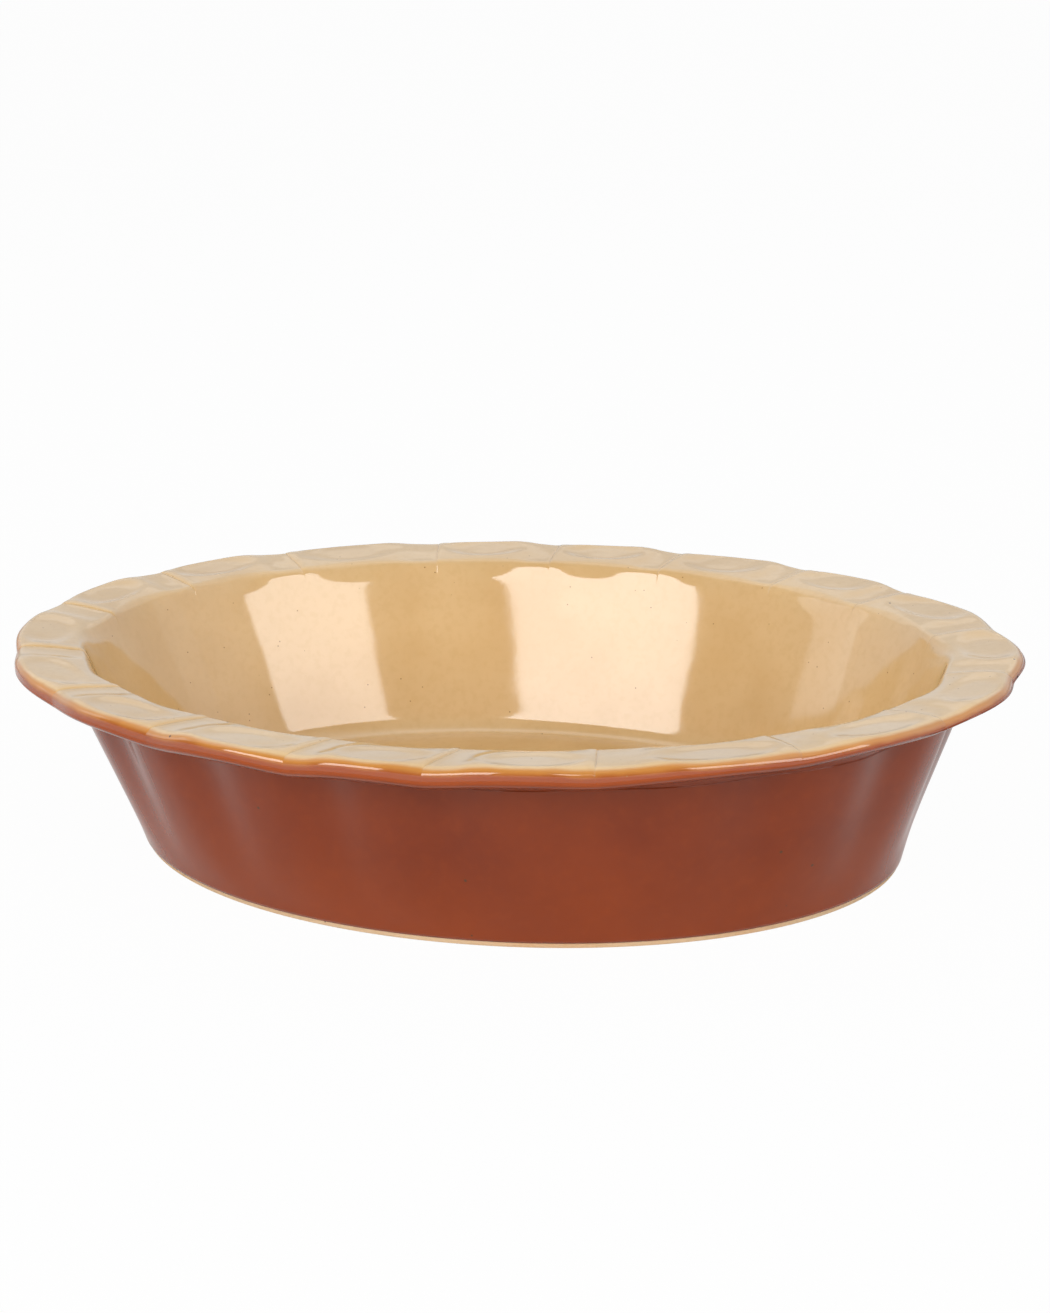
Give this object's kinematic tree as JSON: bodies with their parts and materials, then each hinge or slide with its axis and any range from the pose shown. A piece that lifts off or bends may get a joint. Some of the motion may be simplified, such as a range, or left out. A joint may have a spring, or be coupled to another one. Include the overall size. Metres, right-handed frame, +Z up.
{
  "type": "oval pie dish",
  "caption": "Oval stoneware baking dish with a wide crimped rim pressed like a pie crust, a softly fluted sloping wall, a honey glaze inside and a russet glaze outside.",
  "frame": {"origin": "centre of the foot ring, on the surface that the dish stands on", "axes": "+X along the long axis, +Y across it, +Z up out of the dish"},
  "size_m": [0.2796, 0.2218, 0.0571],
  "materials": {
    "fired_clay": "bare fired stoneware, pale and dry, shown only at the foot",
    "honey_glaze": "glossy honey glaze, warm tan with fine iron specks",
    "russet_glaze": "glossy russet glaze that breaks amber at the rim's edge"
  },
  "bodies": {
    "root": {"stoneware_body": "fired_clay", "inner_glaze": "honey_glaze", "outer_glaze": "russet_glaze"}
  },
  "joints": []
}
